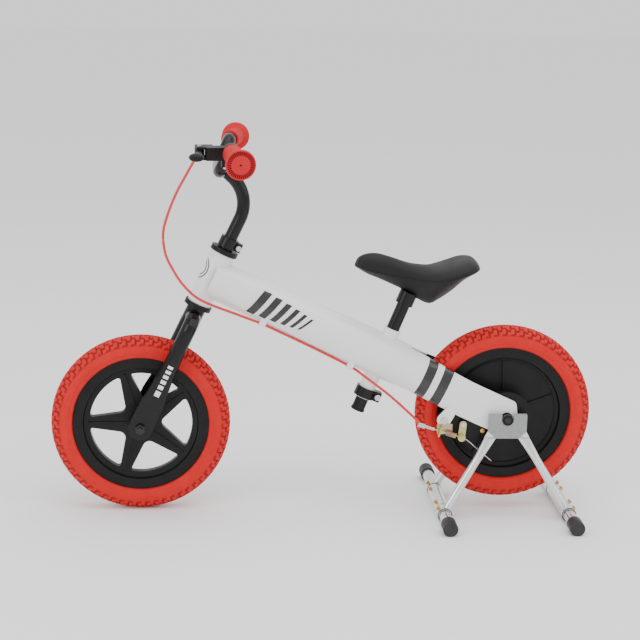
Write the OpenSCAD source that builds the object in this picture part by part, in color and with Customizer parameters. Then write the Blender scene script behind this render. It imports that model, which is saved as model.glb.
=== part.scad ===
// Child's balance bicycle parked with its rear axle in a tubular display stand.
// Origin: on the floor, half way between the two axles, in the bicycle's middle plane.
// +X points to the rear wheel, -Y is the bicycle's left side (the brake side), +Z is up.

/* [Wheels] */
// Tyre outside diameter
tyre_d = 300; // [290:1:340]
// Width of the tyre's round section
tyre_w = 48.5; // [44:0.5:54]
// Diameter over the rim flanges
rim_d = 227.4; // [215:0.5:235]
// Width over the rim flanges
rim_w = 30.6; // [28:0.2:36]
// Half width of the front hub
front_hub_half = 33; // [30:0.5:40]
// Half width of the rear hub
rear_hub_half = 27; // [26:0.5:30]
// Axle diameter
axle_d = 10; // [8:0.5:12]
// Number of spokes or ribs in a wheel
spoke_count = 5; // [4:1:6]

/* [Frame] */
// Distance between the two axles
wheelbase = 613.5; // [590:0.5:740]
// Angle of the steering axis above the level ground
head_angle = 63; // [60:0.5:68]
// Distance of the head tube's lower end from the front axle, along the steering axis
head_low = 227; // [220:1:280]
// Length of the head tube
head_len = 93; // [85:1:115]
// Head tube diameter
head_d = 40; // [38:0.5:44]
// Main tube diameter at the head tube
main_d_front = 65; // [60:1:72]
// Main tube diameter at the seat tube
main_d_rear = 74; // [68:1:80]
// Height of the half-pipe stays
stay_h = 62; // [56:1:68]
// Distance between the outer faces of the two dropouts
dropout_w = 94; // [92:0.5:110]
// Wall of the stays and dropouts
stay_wall = 3.6; // [3:0.2:5]
// Angle of the seat post above the level ground
seat_angle = 66.25; // [64:0.25:72]
// Seat post diameter
post_d = 22.2; // [20:0.2:27]
// Length of the seat post
post_len = 212; // [190:1:260]

/* [Fork and handlebar] */
// Steerer and fork blade diameter
steerer_d = 25.4; // [24.4:0.2:28]
// Width of a flattened fork tip
tip_w = 40; // [34:1:46]
// Distance between the inner faces of the fork tips
fork_gap = 80; // [78:1:96]
// Handlebar tube diameter
bar_d = 22.2; // [20:0.2:23.2]
// Overall width of the handlebar, grip to grip
bar_w = 392; // [340:2:470]
// Height of the crossbar above the front axle, along the steering axis
bar_height = 444.5; // [430:0.5:530]
// Length of a grip
grip_len = 93; // [85:1:110]
// Diameter of a grip's end flange
flange_d = 48; // [40:1:52]

/* [Saddle] */
// Length of the saddle
saddle_len = 206; // [180:1:240]
// Width of the saddle across its tail
saddle_w = 128; // [110:1:150]

/* [Brake] */
// Length of the brake lever from its pivot
lever_len = 86; // [75:1:100]
// Brake drum diameter
drum_d = 78; // [70:1:84]
// Cable housing diameter
cable_d = 4.6; // [4:0.2:5.4]

/* [Stand] */
// Height of the lifted rear axle above the floor
axle_h = 169; // [166:1:230]
// Length of a cross tube over its rubber feet
stand_w = 326; // [280:2:380]
// Distance between the two cross tubes
stand_l = 210; // [190:1:250]
// Cross tube diameter
cross_d = 20; // [18:0.5:22]
// Rubber foot diameter
foot_d = 25; // [24:0.5:30]
// Leg tube diameter
leg_d = 14; // [12:0.5:16]
// Thickness of a slotted side plate
plate_t = 4; // [3:0.5:5]

/* [Hidden] */
$fn = 64;
tyre_r = tyre_d / 2;
rim_r = rim_d / 2;
run = 0.08;          // running clearance on a radius
gap = 0.35;          // air gap between faces that move past each other
tilt = asin((axle_h - tyre_r) / wheelbase);
rear_x = wheelbase * cos(tilt) / 2;

// Steering line: the head tube's middle, and the main tube that joins it to the rear axle
head_mid = head_low + head_len / 2;
head_u = -wheelbase + head_mid * cos(head_angle);
head_v = head_mid * sin(head_angle);
tube_slope = atan2(head_v, -head_u);
tube_len = norm([head_u, head_v]);
stem_top = head_low + head_len + 28;

// Seat tube: where its axis crosses the main tube's axis, and its own extent
seat_t = -231;
seat_top = main_d_rear / 2 + 13;
seat_low = -main_d_rear / 2 - 41;
seat_tube_r = post_d / 2 + 3;
post_low = -102;
post_top = post_low + post_len;

// Stays
stay_start = -193;
stay_flat = -62;
dropout_out = dropout_w / 2;
dropout_in = dropout_out - stay_wall;

// Rear axle stack
nut_h = 6;
cap_r = 9;
cap_len = 7;
cap_y = dropout_out + gap + 1.5 + nut_h;
plate_y = cap_y + cap_len / 2;

// Stand
front_cross_x = rear_x - stand_l / 2 - 0.1;
rear_cross_x = rear_x + stand_l / 2 - 0.1;
cross_z = foot_d / 2;
sleeve_r = cross_d / 2 + 1.7;
collar_len = 26;
collar_y = 69;
collar_shift = -9;   // the collars are set a little to the brake side
joiner_len = 108;
joiner_screw_y = 36;
foot_len = 30;
screw_lean = 50;
slot_r = cap_r + gap + 0.4;
plate_w = 65;
plate_low = axle_h - 32;
plate_top = axle_h + 10.4;
sides = [-1, 1];

// Handlebar
bend_r = 60;
bend_a = 76;
bend_low = bar_height - 61.5;
cross_r = -67;
elbow_r = 24;
elbow_a = 60;
elbow_run = 19;
elbow_y = 36;
rise = 2 * elbow_r * (1 - cos(elbow_a)) + elbow_run * sin(elbow_a);
reach = 2 * elbow_r * sin(elbow_a) + elbow_run * cos(elbow_a);
sweep = 8;
end_y = elbow_y + reach;
tail_len = (bar_w / 2 - end_y - flange_d / 2 * sin(sweep)) / cos(sweep);

// Brake lever bracket, along the swept end of the bar
lever_tilt = -25;
clamp_at = 6;
pivot_x = -50;
pivot_y = 8;

// Brake arm pivot and cable clamp, from the rear axle
arm_pivot = [-74, -8];
arm_len = 22;
cover_y = 40.5;
arm_y = 48.2;
tab_at = [-106, -1];
stop_at = [-112, -19];
cable_y = 55;

// Cable housing routes as [x, y, z] from the rear wheel's ground contact, bicycle level
loop_upper = [[-501.1, -73.1, 615.2], [-502.1, -65.1, 615.7], [-511.5, -52, 597], [-525.7, -45, 572],
    [-540, -43, 547], [-554, -41, 516], [-564, -40, 486], [-566, -40, 466.6]];
loop_lower = [[-566, -40, 465.8], [-562, -40, 440], [-551, -41, 416], [-537, -41, 393],
    [-517, -38, 371], [-493, -34, 356], [-452, -29, 338], [-407, -22, 318]];
rear_run = [[-407, -22, 318], [-330, -20, 278], [-262, -21, 241], [-236, -27, 223],
    [-196, -42, 193], [-160, -52, 160], [-144, -55, 144]];
wire_run = [[-126, -55, 137.5], [-96, -55, 127], [-72, -55, 118.5], [-52, -54, 101], [-26, -52, 77]];

// Bicycle frame of reference: origin under the rear axle on the ground that both wheels stand on
module in_bike() { translate([rear_x, 0, axle_h]) rotate([0, -tilt, 0]) translate([0, 0, -tyre_r]) children(); }

// At the rear axle, in the bicycle's frame
module at_rear() { in_bike() translate([0, 0, tyre_r]) children(); }

// Along the main tube: +X runs down the tube to the rear axle at X = 0
module on_tube() { at_rear() rotate([0, tube_slope, 0]) children(); }

// Along the steering axis: +Z up the axis, origin at the front axle
module on_steer() { in_bike() translate([-wheelbase, 0, tyre_r]) rotate([0, 90 - head_angle, 0]) children(); }

// Along the seat post: +Z up the post, origin where it crosses the main tube's axis
module on_seat() { on_tube() translate([seat_t, 0, 0]) rotate([0, 90 - seat_angle - tube_slope, 0]) children(); }

// A profile of [radius, y] points turned about the Y axis
module turned(points) { rotate([-90, 0, 0]) rotate_extrude($fn = 96) polygon(points); }

// A round bar along Y from y1 to y2
module ybar(r, y1, y2) { translate([0, min(y1, y2), 0]) rotate([-90, 0, 0]) cylinder(r = r, h = abs(y2 - y1)); }

// A flat plate in the XZ plane, from y1 to y2, whose outline is given as [x, z]
module yplate(y1, y2) { translate([0, max(y1, y2), 0]) rotate([90, 0, 0]) linear_extrude(abs(y2 - y1)) children(); }

// A straight rod between two points
module rod(a, b, r) {
    d = b - a;
    translate(a) rotate([0, acos(d.z / norm(d)), atan2(d.y, d.x)]) cylinder(r = r, h = norm(d));
}

// A closed loft through rings with the same number of points, each counter-clockwise about the way it runs
module loft(rings) {
    n = len(rings[0]);
    m = len(rings);
    walls = [for (i = [0:m - 2], j = [0:n - 1], k = [0, 1]) let (a = i * n + j, b = i * n + (j + 1) % n)
        k == 0 ? [b, a, b + n] : [b + n, a, a + n]];
    ends = [[for (j = [0:n - 1]) j], [for (j = [n - 1:-1:0]) (m - 1) * n + j]];
    polyhedron([for (ring = rings) each ring], concat(walls, ends), convexity = 6);
}

// Catmull-Rom point on a route at parameter t, counted in route points
function route_at(p, t) = let (m = len(p) - 1, i = min(floor(t), m - 1), f = t - i,
    a = p[max(i - 1, 0)], b = p[i], c = p[i + 1], d = p[min(i + 2, m)])
    0.5 * ((2 * b) + (c - a) * f + (2 * a - 5 * b + 4 * c - d) * f * f + (3 * b - a - 3 * c + d) * f * f * f);

// A round cord swept along a route, with a number of rings to each span of it.
// The first point of each ring is square to the direction ref.
module cord(p, r, per = 4, sides_n = 10, ref = [0.3, 1, 0.1]) {
    count = (len(p) - 1) * per;
    pts = [for (i = [0:count]) route_at(p, i / per)];
    rings = [for (i = [0:count]) let (t = pts[min(i + 1, count)] - pts[max(i - 1, 0)], w = t / norm(t),
        s = cross(w, ref), u = s / norm(s), v = cross(w, u))
        [for (j = [0:sides_n - 1]) pts[i] + r * (cos(j * 360 / sides_n) * u + sin(j * 360 / sides_n) * v)]];
    loft(rings);
}

// Points of a circular fillet of radius r at corner b between neighbours a and c
function fillet(a, b, c, r) = let (u = (a - b) / norm(a - b), w = (c - b) / norm(c - b),
    half = acos(u * w) / 2, k = min(r / tan(half), norm(a - b) * 0.48, norm(c - b) * 0.48), q = k * tan(half),
    m = b + (u + w) / norm(u + w) * (k / cos(half)), p1 = b + u * k - m, p2 = b + w * k - m,
    a1 = atan2(p1.y, p1.x), turn = atan2(p1.x * p2.y - p1.y * p2.x, p1 * p2))
    [for (i = [0:6]) m + q * [cos(a1 + turn * i / 6), sin(a1 + turn * i / 6)]];

// A polygon with every corner rounded, by one radius or by a list with a radius for each corner
module rounded(p, r) {
    n = len(p);
    polygon([for (i = [0:n - 1]) each fillet(p[(i + n - 1) % n], p[i], p[(i + 1) % n], is_list(r) ? r[i] : r)]);
}

// A hexagonal nut along Y, with its bore
module nut(y1, y2, across, bore_r) {
    difference() {
        translate([0, min(y1, y2), 0]) rotate([-90, 0, 0]) cylinder(d = across / cos(30), h = abs(y2 - y1), $fn = 6);
        ybar(bore_r, min(y1, y2) - 1, max(y1, y2) + 1);
    }
}

// ---- Wheels ------------------------------------------------------------------------------
flange_y = rim_w / 2;
seat_r = rim_r - 6.7;
band_r = rim_r - 16.7;

module tyre() {
    color("red") rotate([-90, 0, 0]) rotate_extrude($fn = 120) {
        intersection() {
            translate([tyre_r - tyre_w / 2, 0]) circle(d = tyre_w);
            translate([rim_r, -tyre_w]) square([tyre_w, 2 * tyre_w]);
        }
        polygon([[seat_r, -flange_y + 6.3], [rim_r + 0.5, -flange_y + 3.3],
            [rim_r + 0.5, flange_y - 3.3], [seat_r, flange_y - 6.3]]);
    }
}

// The rim's outer band, the same on both wheels: flanges, tyre channel and inner step
module rim_band(inner_r) {
    half = [[rim_r, flange_y], [rim_r, flange_y - 3.3], [seat_r, flange_y - 6.3]];
    step = [[inner_r, 7], [band_r - 2, 9.5], [band_r, flange_y]];
    turned(concat(half, [for (p = [half[2], half[1], half[0]]) [p.x, -p.y]],
        [for (p = [step[2], step[1], step[0]]) [p.x, -p.y]], step));
}

// Rounded windows between the spokes, each an arc outside and a rounded point at the hub
module spoke_windows() {
    outer_r = band_r - 11;
    pitch = 360 / spoke_count;
    reach_a = pitch / 2 - asin(9 / outer_r);
    arc = [for (a = [-1:0.25:1]) outer_r * [cos(a * reach_a), sin(a * reach_a)]];
    for (i = [0:spoke_count - 1]) rotate(i * pitch - pitch / 2 + 180)
        rounded(concat([[30, 0]], arc), [11, 12, 90, 90, 90, 90, 90, 90, 90, 12]);
}

module front_rim() {
    color("black") on_steer() rotate([0, head_angle - 90 + tilt, 0]) difference() {
        union() {
            rim_band(band_r - 10);
            yplate(-7, 7) difference() {
                circle(r = band_r - 9);
                spoke_windows();
            }
            ybar(21, -front_hub_half + 9, front_hub_half - 9);
            ybar(16, -front_hub_half, front_hub_half);
            for (i = [0:spoke_count - 1]) rotate([0, 180 + i * 360 / spoke_count, 0])
                translate([19, -9, -1.4]) cube([band_r - 29, 18, 2.8]);
        }
        ybar(axle_d / 2 + 3, -front_hub_half - 1, front_hub_half + 1);
    }
}

module rear_rim() {
    color("black") at_rear() difference() {
        union() {
            rim_band(band_r - 8);
            ybar(band_r - 7, -5, 5);
            ybar(24, -12, 14);
            ybar(16, -rear_hub_half, rear_hub_half);
            for (i = [0:spoke_count - 1]) rotate([0, 54 + i * 360 / spoke_count, 0])
                translate([14, -8, -1]) cube([band_r - 22, 16, 2]);
        }
        ybar(axle_d / 2 + 3, -rear_hub_half - 1, rear_hub_half + 1);
    }
}

// Two plain bushes pressed into the hub, running on the axle
module bearings(half) {
    color("silver") for (s = sides) difference() {
        ybar(axle_d / 2 + 3, s * (half - 9), s * half);
        ybar(axle_d / 2 + run, -half - 1, half + 1);
    }
}

module brake_drum() {
    color("dimgray") at_rear() turned([[17, -18], [drum_d / 2 - 6, -18], [drum_d / 2 - 6, -29], [drum_d / 2, -29],
        [drum_d / 2, -14], [24, -14], [24, -12], [17, -12]]);
}

// ---- Front axle --------------------------------------------------------------------------
tip_t = 5;
tip_out = fork_gap / 2 + tip_t;

pilot_r = axle_d / 2 - 0.5;

// Threaded rod; a smooth pilot with an undercut behind it stands out past each nut
module front_axle() {
    color("silver") on_steer() {
        ybar(axle_d / 2, -tip_out - 9, tip_out + 9);
        for (s = sides) {
            ybar(pilot_r - 0.4, s * (tip_out + 8.9), s * (tip_out + 9.6));
            ybar(pilot_r, s * (tip_out + 9.5), s * (tip_out + 13));
        }
    }
}

module front_nuts() {
    color("black") on_steer() for (s = sides) {
        nut(s * tip_out, s * (tip_out + nut_h + 2), 15, axle_d / 2);
        difference() {
            ybar(11, s * (front_hub_half + gap), s * fork_gap / 2);
            ybar(axle_d / 2, -fork_gap, fork_gap);
        }
    }
}

// ---- Rear axle ---------------------------------------------------------------------------
module rear_axle() { color("silver") at_rear() ybar(axle_d / 2, -cap_y - 5, cap_y + 5); }

module rear_nuts() {
    color("dimgray") at_rear() for (s = sides) {
        nut(s * (dropout_out + gap + 1.5), s * cap_y, 15, axle_d / 2);
        difference() {
            ybar(10, s * (dropout_out + gap), s * (dropout_out + gap + 1.5));
            ybar(axle_d / 2, -dropout_w, dropout_w);
        }
        difference() {
            ybar(8, s * (rear_hub_half + gap), s * (s > 0 ? dropout_in : cover_y - 3) - s * gap);
            ybar(axle_d / 2, -dropout_w, dropout_w);
        }
    }
}

module axle_caps() {
    color("black") at_rear() for (s = sides) difference() {
        ybar(cap_r, s * cap_y, s * (cap_y + cap_len));
        ybar(axle_d / 2, s * (cap_y - 1), s * (cap_y + 5));
    }
}

// ---- Frame -------------------------------------------------------------------------------
module head_tube() {
    color("white") on_steer() translate([0, 0, head_low]) difference() {
        cylinder(d = head_d, h = head_len);
        translate([0, 0, -1]) cylinder(d = head_d - 6, h = head_len + 2);
    }
}

module main_tube() {
    color("white") difference() {
        on_tube() union() {
            translate([-tube_len, 0, 0]) rotate([0, 90, 0])
                cylinder(d1 = main_d_front, d2 = main_d_rear, h = tube_len - 285, $fn = 96);
            translate([-285.01, 0, 0]) rotate([0, 90, 0]) cylinder(d = main_d_rear, h = stay_start + 285, $fn = 96);
        }
        on_tube() {
            translate([-tube_len - 1, 0, 0]) rotate([0, 90, 0])
                cylinder(d1 = main_d_front - 5, d2 = main_d_rear - 5, h = tube_len - 284, $fn = 96);
            translate([-285.01, 0, 0]) rotate([0, 90, 0]) cylinder(d = main_d_rear - 5, h = stay_start + 282, $fn = 96);
        }
        on_steer() translate([0, 0, head_low - 60]) cylinder(d = head_d, h = head_len + 120);
        on_steer() translate([-100, -50, head_low - 80]) cube([100, 100, head_len + 160]);
        on_seat() translate([0, 0, seat_low]) cylinder(r = seat_tube_r, h = seat_top - seat_low);
    }
}

module seat_tube() {
    color("white") on_seat() difference() {
        translate([0, 0, seat_low]) cylinder(r = seat_tube_r, h = seat_top - seat_low);
        translate([0, 0, seat_low - 1]) cylinder(r = post_d / 2 + run, h = seat_top - seat_low + 2);
        translate([0, -1.2, seat_low - 1]) cube([40, 2.4, 22]);
    }
}

// How far a stay has spread and flattened at a distance along the tube, from 0 to 1
function spread(t) = let (f = min(max((t - stay_start) / (stay_flat - stay_start), 0), 1)) f * f * (3 - 2 * f);

// A C-shaped section of a stay at a distance along the tube, flat where it becomes the dropout
function stay_ring(t) = let (n = 12, s = spread(t), e = 1 - s, h = stay_h / 2 + 3 * e,
    bow = (main_d_rear / 2 - 8) * e, y = 8 * e + dropout_out * s, wall = stay_wall - e) concat(
    [for (i = [0:n]) let (a = -90 + 180 * i / n) [t, y + bow * cos(a), h * sin(a)]],
    [for (i = [n:-1:0]) let (a = -90 + 180 * i / n) [t, y - wall * s + (bow - wall * e) * cos(a), (h - wall * e) * sin(a)]]);

// One stay, its dropout's corners rounded off and bored for the axle
module stay() {
    difference() {
        loft([for (t = [for (i = [0:12]) stay_start + (stay_flat - stay_start) * i / 12, 20]) stay_ring(t)]);
        yplate(dropout_in - 1, dropout_out + 1) difference() {
            translate([-25, -stay_h]) square([60, 2 * stay_h]);
            rounded([[-60, -stay_h / 2 - 5], [-26, -stay_h / 2 - 5], [2, -stay_h / 2 + 0.5], [17, -17], [17, 8],
                [3, stay_h / 2 - 0.5], [-26, stay_h / 2 + 5], [-60, stay_h / 2 + 5]], [1, 1, 12, 9, 9, 12, 1, 1]);
        }
        ybar(axle_d / 2 + run, dropout_in - 9, dropout_out + 9);
    }
}

module right_stay() { color("white") on_tube() stay(); }
module left_stay() { color("white") on_tube() mirror([0, 1, 0]) stay(); }

// White guide blocks under the main tube that hold the housing
module cable_guides() {
    color("white") difference() {
        for (i = [0, 2]) in_bike() translate(rear_run[i]) rotate([0, tube_slope, 0])
            translate([0, 0, 3]) cube([11, 11, 14], center = true);
        in_bike() rod(rear_run[0] * 2 - rear_run[1], rear_run[1], cable_d / 2 + run);
        in_bike() rod(rear_run[1], rear_run[2] * 2 - rear_run[1], cable_d / 2 + run);
        on_tube() translate([-tube_len, 0, 0]) rotate([0, 90, 0])
            cylinder(d1 = main_d_front, d2 = main_d_rear, h = tube_len - 285, $fn = 96);
        on_tube() translate([-285, 0, 0]) rotate([0, 90, 0]) cylinder(d = main_d_rear, h = 90, $fn = 96);
    }
}

module headset_cups() {
    color("black") on_steer() difference() {
        for (z = [head_low - 8, head_low + head_len]) translate([0, 0, z]) cylinder(r = head_d / 2 + 3.5, h = 8);
        translate([0, 0, head_low - 20]) cylinder(r = steerer_d / 2 + run, h = head_len + 40);
    }
}

clamp_h = 17;
clamp_z = seat_low + 1.5;

module seat_clamp() {
    color("black") on_seat() translate([0, 0, clamp_z]) difference() {
        union() {
            cylinder(r = seat_tube_r + 3.5, h = clamp_h);
            translate([0, -8, 0]) cube([seat_tube_r + 13, 16, clamp_h]);
        }
        translate([0, 0, -1]) cylinder(r = seat_tube_r, h = clamp_h + 2);
        translate([0, -1.5, -1]) cube([50, 3, clamp_h + 2]);
        translate([seat_tube_r + 8, 0, clamp_h / 2]) ybar(3, -20, 20);
    }
}

// ---- Rear brake fixed to the frame -------------------------------------------------------
// Ear welded under the left stay, where the brake's reaction arm is bolted
module brake_tab() {
    color("white") at_rear() difference() {
        yplate(-dropout_out, -dropout_out + 3.5) hull() {
            translate(tab_at) circle(r = 11.6, $fn = 32);
            translate(tab_at + [12, 16]) circle(r = 9, $fn = 32);
        }
        translate([tab_at.x, 0, tab_at.y]) ybar(3, -70, 0);
    }
}

module brake_cover() {
    color("black") at_rear() difference() {
        union() {
            yplate(-cover_y, -cover_y + 3) hull() {
                circle(r = 43);
                translate(tab_at) circle(r = 12, $fn = 32);
                translate([-62, -34]) circle(r = 12, $fn = 32);
            }
            ybar(42, -cover_y + 2, -31);
            translate([tab_at.x, 0, tab_at.y]) ybar(7, -dropout_out + 3.5, -cover_y + 0.1);
            translate([arm_pivot.x, 0, arm_pivot.y]) ybar(6, -arm_y + gap, -cover_y + 0.1);
        }
        ybar(drum_d / 2 + 2, -cover_y + 3, -25);
        ybar(axle_d / 2 + run, -60, 0);
        translate([tab_at.x, 0, tab_at.y]) ybar(3, -70, 0);
        translate([arm_pivot.x, 0, arm_pivot.y]) ybar(2.6, -70, 0);
    }
}

// The seat clamp's bolt and nut, the brake's reaction bolt, a small cover screw and the arm's pivot pin
module frame_bolts() {
    color("silver") {
        on_seat() translate([seat_tube_r + 8, 0, clamp_z + clamp_h / 2]) {
            ybar(3, -8, 12);
            ybar(5, -12, -8);
            nut(8, 12, 9, 3);
        }
        at_rear() translate([tab_at.x, 0, tab_at.y]) {
            ybar(3, -dropout_out - 0.01, -cover_y + 5);
            ybar(6, -dropout_out - 3.5, -dropout_out);
        }
        at_rear() translate([-40, 0, -22]) ybar(4, -cover_y - 3, -cover_y);
        at_rear() translate([arm_pivot.x, 0, arm_pivot.y]) {
            ybar(2.6, -arm_y - 3.5, -cover_y + 5);
            ybar(4, -arm_y - 5, -arm_y - 3 - gap);
        }
    }
}

// Bent plate under the ear that stops the cable housing
module cable_stop() {
    color("goldenrod") at_rear() difference() {
        union() {
            translate([stop_at.x - 6, -dropout_out - 2, stop_at.y - 5]) cube([26, 2, 17]);
            translate([stop_at.x - 6, -cable_y - 6, stop_at.y - 6]) rotate([0, 19, 0]) cube([2.5, 12 + cable_y - dropout_out - 8, 17]);
        }
        at_bike_origin() rod(rear_run[6] * 2 - wire_run[0], wire_run[0] * 2 - rear_run[6], 2.5);
        translate([tab_at.x, 0, tab_at.y]) ybar(6, -dropout_out - 4, -dropout_out + 1);
    }
}

// From the rear axle's place back to the bicycle's origin
module at_bike_origin() { translate([0, 0, -tyre_r]) children(); }

module rear_adjuster() {
    d = wire_run[0] - rear_run[6];
    color("silver") in_bike() difference() {
        union() {
            rod(rear_run[6] - 0.35 * d, rear_run[6] + 0.25 * d, 4.2);
            rod(rear_run[6] + 0.2 * d, wire_run[0] + 0.15 * d, 2.45);
        }
        rod(rear_run[6] - 0.5 * d, wire_run[0] + 0.5 * d, 1.2);
        rod(rear_run[6] - 0.5 * d, rear_run[6], cable_d / 2);
    }
}

module rear_cable() { color("red") in_bike() cord(rear_run, cable_d / 2, 4); }
module front_cable_lower() { color("red") in_bike() cord(loop_lower, cable_d / 2, 3); }
module front_cable_upper() { color("red") in_bike() cord(loop_upper, cable_d / 2, 3); }

// ---- Fork --------------------------------------------------------------------------------
crown_low = head_low - 34;
riser_low = head_low + 10;

module steerer() {
    color("black") on_steer() difference() {
        union() {
            translate([0, 0, crown_low]) cylinder(d = steerer_d, h = stem_top - crown_low);
            translate([0, 0, crown_low]) cylinder(r = 16, h = head_low - 8 - gap - crown_low);
            translate([0, 0, crown_z]) ybar(12.9, -17, 17);
        }
        translate([0, 0, crown_low + 26]) cylinder(r = bar_d / 2 + run, h = head_len + 80);
        translate([-20, -1, stem_top - 16]) cube([20, 2, 20]);
    }
}

blade_y = fork_gap / 2 + tip_t / 2;
shoulder_r = 19;
crown_z = crown_low + 10;

// A blade's stations from the crown down: [height, offset to the side, half width, half thickness, lean]
blade_stations = concat([[crown_z, 17, 12.7, 12.7, 90]],
    [for (a = [0:22.5:90]) [crown_z - shoulder_r * (1 - cos(a)), blade_y - shoulder_r * (1 - sin(a)), 12.7, 12.7, 90 - a]],
    [[150, blade_y, 12.7, 12.4, 0], [110, blade_y, 13.4, 11, 0], [84, blade_y, 15, 8.6, 0], [62, blade_y, 17.6, 5.4, 0],
    [46, blade_y, 19.4, 2.6, 0], [34, blade_y, 19.6, 2.1, 0]]);

function blade_ring(q) = let (n = 20) [for (j = [0:n - 1]) let (c = q[3] * cos(j * 360 / n))
    [q[2] * sin(j * 360 / n), q[1] + c * cos(q[4]), q[0] + c * sin(q[4])]];

module blade() {
    difference() {
        union() {
            loft([for (q = blade_stations) blade_ring(q)]);
            yplate(fork_gap / 2, tip_out) rounded([[-tip_w / 2, 40], [-tip_w / 2, -8], [-8, -tip_w / 2],
                [8, -tip_w / 2], [tip_w / 2, -8], [tip_w / 2, 40]], 10);
        }
        ybar(axle_d / 2, fork_gap / 2 - 9, tip_out + 9);
    }
}

module right_blade() { color("black") on_steer() blade(); }
module left_blade() { color("black") on_steer() mirror([0, 1, 0]) blade(); }

module stem_collar() {
    color("black") on_steer() translate([0, 0, stem_top - 17]) difference() {
        union() {
            cylinder(r = steerer_d / 2 + 3, h = 17);
            translate([0, -7, 0]) cube([steerer_d / 2 + 11, 14, 15]);
        }
        translate([0, 0, -1]) cylinder(d = steerer_d, h = 19);
        translate([0, -1.5, -1]) cube([50, 3, 20]);
        translate([steerer_d / 2 + 6.5, 0, 7.5]) ybar(2.5, -20, 20);
    }
}

module stem_bolt() {
    color("silver") on_steer() translate([steerer_d / 2 + 6.5, 0, stem_top - 9.5]) {
        ybar(2.5, -7, 10.5);
        ybar(4.5, -11, -7);
        nut(7, 10.5, 8, 2.5);
    }
}

// ---- Handlebar ---------------------------------------------------------------------------
module riser() {
    color("black") on_steer() difference() {
        union() {
            translate([0, 0, riser_low]) cylinder(d = bar_d, h = bend_low - riser_low);
            translate([-bend_r, 0, bend_low]) rotate([90, 0, 0]) bend(bend_r, 0, bend_a);
            translate([-bend_r, 0, bend_low]) rotate([0, -bend_a, 0]) translate([bend_r, 0, 0])
                cylinder(d = bar_d - 1, h = 22);
        }
        translate([cross_r, 0, bar_height]) ybar(bar_d / 2, -40, 40);
        translate([0, 0, riser_low - 1]) cylinder(d = bar_d - 4, h = bend_low - riser_low - 4);
    }
}

// Half of the crossbar's line: straight centre, S-bend up across the bicycle, end swept back
half_bar = concat([[0, 0, 0]],
    [for (a = [0:10:elbow_a]) [0, elbow_y + elbow_r * sin(a), elbow_r * (1 - cos(a))]],
    [for (a = [elbow_a:-10:0]) [0, end_y - elbow_r * sin(a), rise - elbow_r * (1 - cos(a))]],
    [[0.3, end_y + 4, rise], [(tail_len - 4) * sin(sweep), end_y + (tail_len - 4) * cos(sweep), rise]]);

module crossbar() {
    other = [for (i = [len(half_bar) - 1:-1:1]) [half_bar[i].x, -half_bar[i].y, half_bar[i].z]];
    color("black") on_steer() translate([cross_r, 0, bar_height])
        cord(concat(other, half_bar), bar_d / 2, 1, 32, [1, 0, 0]);
}

// A tube bend in the XY plane, a hair thinner than the tube and let into the straights at its ends
module bend(r, a1, a2) {
    rotate([0, 0, a1 - 1]) rotate_extrude(angle = a2 - a1 + 2) translate([r, 0]) circle(d = bar_d - 0.1);
}

// Origin at the start of a swept end, with +Z outwards along it
module bar_end() { translate([0, end_y, rise]) rotate([-90, 0, -sweep]) children(); }

// The same place on the left side, with +Y pointing inwards along the bar
module left_bar() {
    on_steer() translate([cross_r, -end_y, bar_height + rise]) rotate([0, 0, sweep]) children();
}

module grip() {
    difference() {
        union() {
            translate([0, 0, tail_len - grip_len]) cylinder(r = bar_d / 2 + 3.2, h = grip_len - 6);
            translate([0, 0, tail_len - grip_len]) cylinder(r = bar_d / 2 + 4.4, h = 4);
            translate([0, 0, tail_len - 7]) cylinder(d = flange_d, h = 7);
        }
        translate([0, 0, -1]) cylinder(d = bar_d, h = tail_len - 3);
        translate([0, 0, tail_len - 1.5]) cylinder(r = 1.2, h = 3);
    }
}

module right_grip() { color("red") on_steer() translate([cross_r, 0, bar_height]) bar_end() grip(); }
module left_grip() { color("red") on_steer() translate([cross_r, 0, bar_height]) mirror([0, 1, 0]) bar_end() grip(); }

// ---- Brake lever -------------------------------------------------------------------------
// Lever frame: origin on the bar's axis at the clamp, -X level and forwards, -Y outwards, +Z up
module at_lever() { left_bar() translate([0, -clamp_at, 0]) rotate([0, lever_tilt, 0]) children(); }

module lever_bracket() {
    color("black") at_lever() difference() {
        union() {
            ybar(bar_d / 2 + 4.5, -7, 7);
            translate([pivot_x + 9, -7, -11]) cube([-17 - pivot_x, 20, 21]);
            for (z = [-11, 6]) translate([pivot_x - 6, -2, z]) cube([-22 - pivot_x, 26, 4]);
            translate([pivot_x, pivot_y, -11]) cylinder(r = 6, h = 21);
            translate([-16, -5, -22]) cube([14, 10, 12]);
            translate([pivot_x - 6, 16.9, -11]) cube([15, 7.1, 21]);
        }
        ybar(bar_d / 2, -20, 20);
        translate([pivot_x - 30, -30, -7 - gap]) cube([39, 46.5, 13 + 2 * gap]);
        translate([pivot_x, pivot_y, -20]) cylinder(r = 2.5, h = 40);
        translate([-9, 0, -30]) cylinder(r = 2.5, h = 20);
    }
}

module lever_adjuster() {
    d = loop_upper[1] - loop_upper[0];
    color("silver") in_bike() difference() {
        rod(loop_upper[0] - d, loop_upper[0] + 0.5 * d, 3.6);
        rod(loop_upper[0], loop_upper[1], cable_d / 2);
    }
}

// Lever stations: [outwards, middle x, middle z, half width, half thickness]
lever_stations = [[5, 0, -0.5, 5.5, 5], [-4, -2, -0.5, 6.5, 5.5], [-18, -4.5, 0.5, 6, 5], [-35, -8, 2.5, 6.5, 4.5],
    [-52, -11.5, 5, 7.5, 4.5], [-64, -14, 6.8, 9.5, 5.2], [-72, -15.3, 7.8, 11.8, 6.4], [-79, -15.6, 8, 12, 6.6],
    [-83, -15.6, 8, 10.5, 5.2], [-85, -15.6, 8, 7, 3]];

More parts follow.
